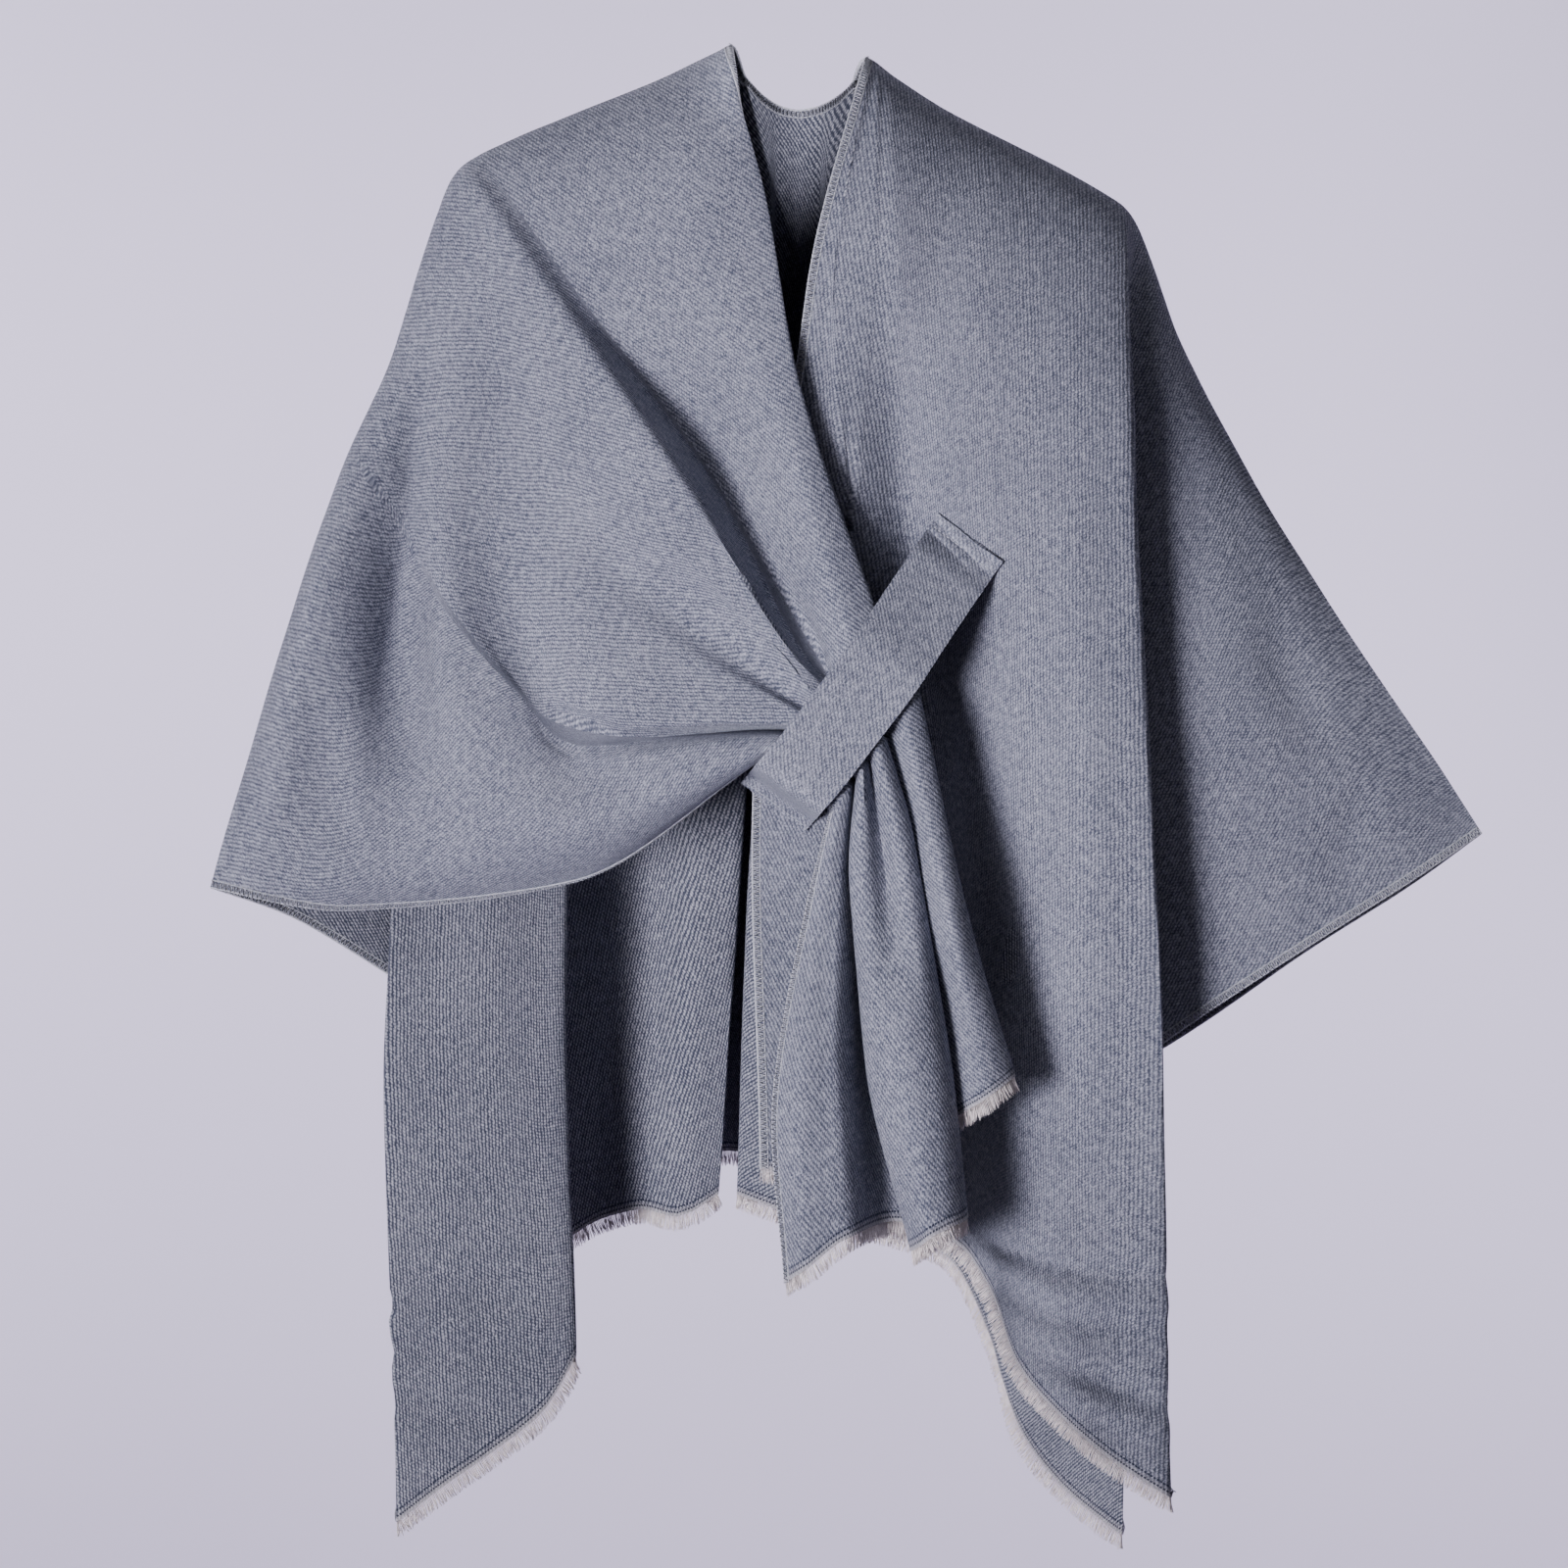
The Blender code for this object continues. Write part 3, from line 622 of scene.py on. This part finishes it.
def tubes(points, axisA, axisB, radii, sides):
    # one tube for each run of points, with a ring of sides at each point
    runs, places = points.shape[:2]
    turn = 2 * np.pi * np.arange(sides) / sides
    ring = (np.cos(turn)[:, None] * axisA[:, :, None, :] + np.sin(turn)[:, None] * axisB[:, :, None, :])
    spots = points[:, :, None, :] + ring * np.asarray(radii)[None, :, None, None]
    index = np.arange(runs * places * sides).reshape(runs, places, sides)
    beside = np.roll(index, -1, axis=2)
    walls = np.stack((index[:, :-1], beside[:, :-1], beside[:, 1:], index[:, 1:]), axis=-1)
    walls = walls.reshape(-1, 4)
    ends = np.concatenate((index[:, 0, ::-1], index[:, -1]))
    return spots.reshape(-1, 3), walls.tolist() + ends.tolist()


def threadPiece(name, bundles, material):
    points, faces = [], []
    base = 0
    for spots, walls in bundles:
        points.append(spots)
        faces.extend([[k + base for k in wall] for wall in walls])
        base += len(spots)
    mesh = bpy.data.meshes.new(name)
    mesh.from_pydata((np.concatenate(points) * mm).tolist(), [], faces)
    mesh.materials.append(material)
    mesh.shade_smooth()
    piece = bpy.data.objects.new(name, mesh)
    bpy.context.scene.collection.objects.link(piece)
    bpy.context.view_layer.objects.active = piece
    piece.select_set(True)
    bpy.ops.object.mode_set(mode="EDIT")
    bpy.ops.mesh.select_all(action="SELECT")
    bpy.ops.mesh.normals_make_consistent(inside=False)
    bpy.ops.object.mode_set(mode="OBJECT")
    piece.select_set(False)
    print(name, sum(len(f) - 2 for f in faces), "triangles")
    return piece


def evenly(run, pitch):
    # edge points, inward and outer directions at an even pitch
    length = np.concatenate(([0], np.cumsum(np.linalg.norm(np.diff(run[:, :3], axis=0), axis=1))))
    where = np.linspace(0, length[-1], max(2, int(length[-1] / pitch)) + 1)
    return np.column_stack([np.interp(where, length, run[:, k]) for k in range(run.shape[1])])


def edgeRun(grid, out, edge, low=None, high=None):
    # the first or last column, or the top or bottom row of a grid, with its inward and outer directions
    if edge in ("first", "last"):
        k, step = (0, 1) if edge == "first" else (-1, -2)
        rim, inner, normal = grid[k, low:high, :3], grid[step, low:high, :3], out[k, low:high]
    else:
        k, step = (0, 1) if edge == "top" else (-1, -2)
        rim, inner, normal = grid[low:high, k, :3], grid[low:high, step, :3], out[low:high, k]
    along = unit(np.gradient(rim, axis=0))
    inward = inner - rim
    inward = unit(inward - along * (inward * along).sum(axis=1, keepdims=True))
    return np.hstack((rim, inward, normal))


overlock = dict(pitch=2.8, reach=4.2, over=0.3, clear=0.15, thread=0.42, cord=0.70, cordOut=0.25)


def overlockAlong(run):
    lift = wrap["thickness"] / 2 + overlock["clear"]
    stitches = evenly(run, overlock["pitch"] / 2)
    rim, inward, normal = stitches[:, :3], unit(stitches[:, 3:6]), unit(stitches[:, 6:])
    along = unit(np.gradient(rim, axis=0))
    into = np.where(np.arange(len(rim)) % 2, overlock["reach"], -overlock["over"])[:, None]
    thread = np.full(len(rim), overlock["thread"])
    bundles = []
    for face in (1, -1):    # over both faces
        path = rim + inward * into + normal * face * lift
        bundles.append(tubes(path[None], along[None], normal[None], thread, 4))
        rail = rim + inward * overlock["reach"] + normal * face * lift
        bundles.append(tubes(rail[None], inward[None], normal[None], thread, 4))
    cord = rim - inward * overlock["cordOut"]
    thick = np.full(len(rim), overlock["cord"])
    bundles.append(tubes(cord[None], inward[None], normal[None] * 1.5, thick, 6))
    return bundles


def threadFinish(name, colour, other, size):
    thread = Finish(name)
    place = thread.add("ShaderNodeTexCoord", None, None, 3)
    tint = thread.add("ShaderNodeTexNoise", None, {"Vector": place, "Scale": size, "Detail": 2.0})
    bump = thread.add("ShaderNodeBump", None, {"Strength": 0.4, "Distance": 0.0003, "Height": tint})
    return thread.surface(Base_Color=thread.mix(tint.smooth(0.3, 0.7), colour, other), Normal=bump,
                          Roughness=0.8 + tint * 0.15, Sheen_Weight=0.15, Specular_IOR_Level=0.25)


overlockThread = threadFinish("overlockThread", (0.330, 0.350, 0.410, 1), (0.600, 0.610, 0.660, 1), 900)
fringeYarn = threadFinish("fringeYarn", (0.700, 0.630, 0.630, 1), (0.900, 0.840, 0.835, 1), 260)

# the bottom rows are hem in their middle and side edge at their ends
hemLine = wrap["halfLength"] - 0.1
bottom = backGrid[:, -1]
firstHem = int(np.argmax(bottom[:, 4] <= -hemLine))
lastHem = len(bottom) - 1 - int(np.argmax(bottom[::-1, 4] <= -hemLine))
leftHem = int(len(leftGrid) - 1 - np.argmax(leftGrid[::-1, -1, 4] >= hemLine))
neckLow, neckHigh = (columnNear(backGrid, way * wrap["neckHalf"], 0) for way in (-1, 1))
edges = (
    edgeRun(leftGrid, leftOut, "first"),
    edgeRun(leftGrid, leftOut, "bottom", leftHem, None),
    edgeRun(rightGrid, rightOut, "first"),
    edgeRun(rightGrid, rightOut, "last"),
    edgeRun(tailGrid, tailOut, "first"),
    edgeRun(tailGrid, tailOut, "last"),
    edgeRun(backGrid, backOut, "top", neckLow, neckHigh + 1),
    edgeRun(backGrid, backOut, "bottom", 0, firstHem + 1),
    edgeRun(backGrid, backOut, "bottom", lastHem, None),
)
edging = threadPiece("overlockEdging", [b for run in edges for b in overlockAlong(run)], overlockThread)
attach(edging, "root")

fringe = dict(
    pitch=0.85, long=9.6, short=7.0, radius=0.30, inset=1.2,
    sag=0.45,
    sway=0.9, stray=0.8,        # along the hem, in clumps and strand by strand
    curl=0.6, kink=0.55,        # out of the cloth's plane
)


def fringeAlong(run):
    strands = evenly(run, fringe["pitch"])
    strands = np.repeat(strands, 2, axis=0)
    count = len(strands)
    rim, inward, normal = strands[:, :3], unit(strands[:, 3:6]), unit(strands[:, 6:])
    along = unit(np.gradient(rim, axis=0) + 1e-6)
    fall = unit(-inward - (0, 0, fringe["sag"]))
    length = np.linalg.norm(np.diff(run[:, :3], axis=0), axis=1).sum()
    where = np.linspace(0, length, count)
    clump = np.sin(where / 9.0 + 2.2 * np.sin(where / 23.0)) + 0.6 * np.sin(where / 3.1)
    reach = fringe["short"] + (fringe["long"] - fringe["short"]) * chance.random(count) ** 0.6
    sway = (fringe["sway"] * clump + fringe["stray"] * chance.standard_normal(count))[:, None] * along
    bend = fringe["curl"] * np.sin(where / 15.0) + fringe["kink"] * chance.standard_normal(count)
    curl = bend[:, None] * normal
    root = rim + inward * fringe["inset"] + normal * (chance.random(count)[:, None] - 0.5) * 0.8
    points = np.stack([root + fall * (fringe["inset"] * min(1, 4 * u) + reach[:, None] * u)
                       + (sway + curl) * u**1.6 for u in (0, 0.35, 0.7, 1)], axis=1)
    axisA = np.repeat(along[:, None], 4, axis=1)
    axisB = np.repeat(normal[:, None], 4, axis=1)
    return tubes(points, axisA, axisB, [fringe["radius"]] * 3 + [fringe["radius"] * 0.5], 3)


hems = (("fringeLeftFront", "fringe_left_front", edgeRun(leftGrid, leftOut, "bottom", 0, leftHem + 1)),
        ("fringeRightFront", "fringe_right_front", edgeRun(tailGrid, tailOut, "bottom")),
        ("fringeBack", "fringe_back", edgeRun(backGrid, backOut, "bottom", firstHem, lastHem + 1)))
for name, node, run in hems:
    piece = threadPiece(name, [fringeAlong(run)], fringeYarn)
    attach(piece, "root")
    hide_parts(node)

# strap

strap = dict(
    width=49, thickness=2.6, columns=19,
    sewn=28,        # length that lies on the panel at the upper end
    clear=0.3,
    seam=8.7,       # upper seam, from the upper end
    lowSeam=2.2,    # lower seam, from the lower end
    stitch=3.3,
    dent=0.5,
    close=16,       # closer rows for this far from each end
    tilt=12,        # of the weave to the strap
    flatTop=100,    # t of the strap's weave at its upper end, well away from the hem's rows
    middle=((104, -90.5, -299), (99, -92.5, -306), (90, -98, -319), (79, -107, -335), (67, -117, -353),
            (52, -128, -376), (24, -131, -413), (4, -131, -439), (-3, -130, -447), (-6.5, -123, -451),
            (-7.5, -112, -452.5), (-8.4, -96, -453.4), (-9.2, -83, -454.3), (-10, -73, -455.2),
            (-11.4, -69.3, -457), (-15.5, -68.6, -462)),
)


def panelDepth(x, z):
    # how deep the left front lies there
    near = 1 / ((leftGrid[:, :, 0] - x) ** 2 + (leftGrid[:, :, 2] - z) ** 2 + 6) ** 3
    return (near * leftGrid[:, :, 1]).sum() / near.sum()


middle = np.array(strap["middle"], float)
length = np.concatenate(([0], np.cumsum(np.linalg.norm(np.diff(middle, axis=0), axis=1))))
full = length[-1]
spots = np.concatenate((np.linspace(0, strap["close"], 24),
                        np.linspace(strap["close"] + 1.5, full - strap["close"], 80),
                        np.linspace(full - strap["close"] + 1, full, 16)))
path = smoothThrough(length, middle, spots)
line = np.array(knot["bottom"], float) - np.array(knot["top"], float)
crossway = np.array([-line[1], 0, line[0]]) / np.hypot(*line)
offsets = np.linspace(-0.5, 0.5, strap["columns"]) * strap["width"]
strapGrid = np.empty((strap["columns"], len(spots), 5))
strapGrid[:, :, :3] = path[None] + crossway * offsets[:, None, None]
rest = (wrap["thickness"] + strap["thickness"]) / 2 + strap["clear"]
for j in np.flatnonzero(spots < strap["sewn"]):
    free = (spots[j] / strap["sewn"]) ** 2 * (3 - 2 * spots[j] / strap["sewn"])
    for i in range(strap["columns"]):
        x, y, z = strapGrid[i, j, :3]
        strapGrid[i, j, 1] = y * free + (panelDepth(x, z) - rest) * (1 - free)
strapGrid[:, :, 1] += strap["dent"] * np.exp(-((spots - strap["seam"]) / 0.9) ** 2)
tilt = math.radians(strap["tilt"])
strapGrid[:, :, 3] = offsets[:, None] * math.cos(tilt) - spots * math.sin(tilt)
strapGrid[:, :, 4] = strap["flatTop"] + offsets[:, None] * math.sin(tilt) + spots * math.cos(tilt)
strapOut = gridNormals(strapGrid)
if strapOut[strap["columns"] // 2, len(spots) // 2, 1] > 0:
    strapOut = -strapOut
strapTwill = twillFinish("strapTwill", twill["outerDark"], twill["outerLight"],
                         ribShare=0.40, fuzz=1.0, level=0.26, seed=5.0)
strapLoop = clothShell("strapLoop", ((strapGrid, strapOut),), strap["thickness"], (strapTwill, strapTwill))
seams = []
for spot in (strap["seam"], full - strap["lowSeam"]):
    j = int(np.argmin(np.abs(spots - spot)))
    row = np.hstack((strapGrid[:, j, :3] + strapOut[:, j] * (strap["thickness"] / 2 + 0.12), strapOut[:, j]))
    row = evenly(row[1:-1], strap["stitch"] / 4)
    for k in range(0, len(row) - 3, 4):
        stitch = row[None, k:k + 4, :3] - row[None, k:k + 4, 3:] * np.array([0.3, 0, 0, 0.3])[None, :, None]
        seams.append(tubes(stitch, np.repeat([[[0, 0, 1.0]]], 4, axis=1), row[None, k:k + 4, 3:],
                           [0.24, 0.34, 0.34, 0.24], 5))
stitching = threadPiece("strapStitching", seams, overlockThread)
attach(stitching, "root")
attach(strapLoop, "root")
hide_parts("strap_loop")

# backdrop, light and camera

studio = dict(
    floor=-2.20, wall=1.6, side=5.0, front=-9.0, top=3.0, corner=0.8,
    paper=((0.690, 0.645, 0.830, 1), (0.720, 0.675, 0.860, 1)),
    tint=(0.955, 0.91, 1.0),
    room=0.12,      # light from all round
    lens=300, sensor=36, eye=(-0.009, -8.0, -0.448),
)
# name, place, aim, size, watts, spread
softboxes = (
    ("keyLight", (-2.33, -3.72, -1.30), (0.19, 0, -0.38), 1.45, 12.2, 28),
    ("topLight", (-1.7, -2.8, 1.7), (0.10, 0, 0.10), 1.1, 0.9, 22),
    ("wallLeft", (-2.2, 0.2, 0.3), (-0.3, 1.6, -0.45), 1.5, 28, 70),
    ("wallRight", (2.2, 0.2, 0.3), (0.2, 1.6, -0.5), 1.5, 7, 70),
)
neckLight = dict(place=(-0.30, -2.1, 0.50), aim=(-0.004, 0.06, -0.038), watts=330, spread=2.7, soft=0.02)
bpy.ops.mesh.primitive_plane_add(size=1, location=(0, 0, 0))
sweep = bpy.context.object
sweep.name = "backdrop"
sweep.scale = (2 * studio["side"], studio["wall"] - studio["front"], 1)
sweep.location = (0, (studio["wall"] + studio["front"]) / 2, studio["floor"])
bpy.ops.object.transform_apply(location=True, rotation=True, scale=True)
bpy.ops.object.mode_set(mode="EDIT")
bpy.ops.mesh.select_mode(type="EDGE")
bpy.ops.mesh.select_all(action="DESELECT")
bpy.ops.object.mode_set(mode="OBJECT")
for edge in sweep.data.edges:
    edge.select = all(sweep.data.vertices[k].co.y > studio["wall"] - 0.01 for k in edge.vertices)
bpy.ops.object.mode_set(mode="EDIT")
bpy.ops.mesh.extrude_region_move(TRANSFORM_OT_translate={"value": (0, 0, studio["top"] - studio["floor"])})
bpy.ops.object.mode_set(mode="OBJECT")
corner = sweep.modifiers.new("corner", "BEVEL")
corner.width, corner.segments, corner.limit_method = studio["corner"], 24, "ANGLE"
bpy.ops.object.modifier_apply(modifier="corner")
bpy.ops.object.shade_smooth()
sweep.select_set(False)
paper = Finish("backdropPaper")
place = paper.add("ShaderNodeTexCoord", None, None, 3)
grain = paper.add("ShaderNodeTexNoise", None, {"Vector": place, "Scale": 3.0, "Detail": 2.0})
behind = paper.add("ShaderNodeNewGeometry", None, None, "Backfacing")  # clear from behind
sweep.data.materials.append(paper.surface(
    Base_Color=paper.mix(grain, *studio["paper"]), Roughness=0.9, Alpha=1 - behind))


def addLamp(data, place, aim):
    lamp = bpy.data.objects.new(data.name, data)
    lamp.location = place
    lamp.rotation_euler = (Vector(aim) - Vector(place)).to_track_quat("-Z", "Y").to_euler()
    bpy.context.scene.collection.objects.link(lamp)


for name, place, aim, size, watts, spread in softboxes:
    box = bpy.data.lights.new(name, "AREA")
    box.shape, box.size, box.energy, box.color = "DISK", size, watts, studio["tint"]
    box.spread = math.radians(spread)
    addLamp(box, place, aim)
snoot = bpy.data.lights.new("neckLight", "SPOT")
snoot.energy, snoot.color = neckLight["watts"], studio["tint"]
snoot.spot_size, snoot.spot_blend = math.radians(neckLight["spread"]), 1.0
snoot.shadow_soft_size = neckLight["soft"]
addLamp(snoot, neckLight["place"], neckLight["aim"])
world = bpy.data.worlds.new("studio")
world.use_nodes = True
world.node_tree.nodes["Background"].inputs["Color"].default_value = (*studio["tint"], 1)
world.node_tree.nodes["Background"].inputs["Strength"].default_value = studio["room"]
bpy.context.scene.world = world

camera = bpy.data.cameras.new("camera")
camera.lens, camera.sensor_width = studio["lens"], studio["sensor"]
eye = bpy.data.objects.new("camera", camera)
eye.location = studio["eye"]
eye.rotation_euler = (math.pi / 2, 0, 0)
bpy.context.scene.collection.objects.link(eye)
bpy.context.scene.camera = eye
print("studio ready")
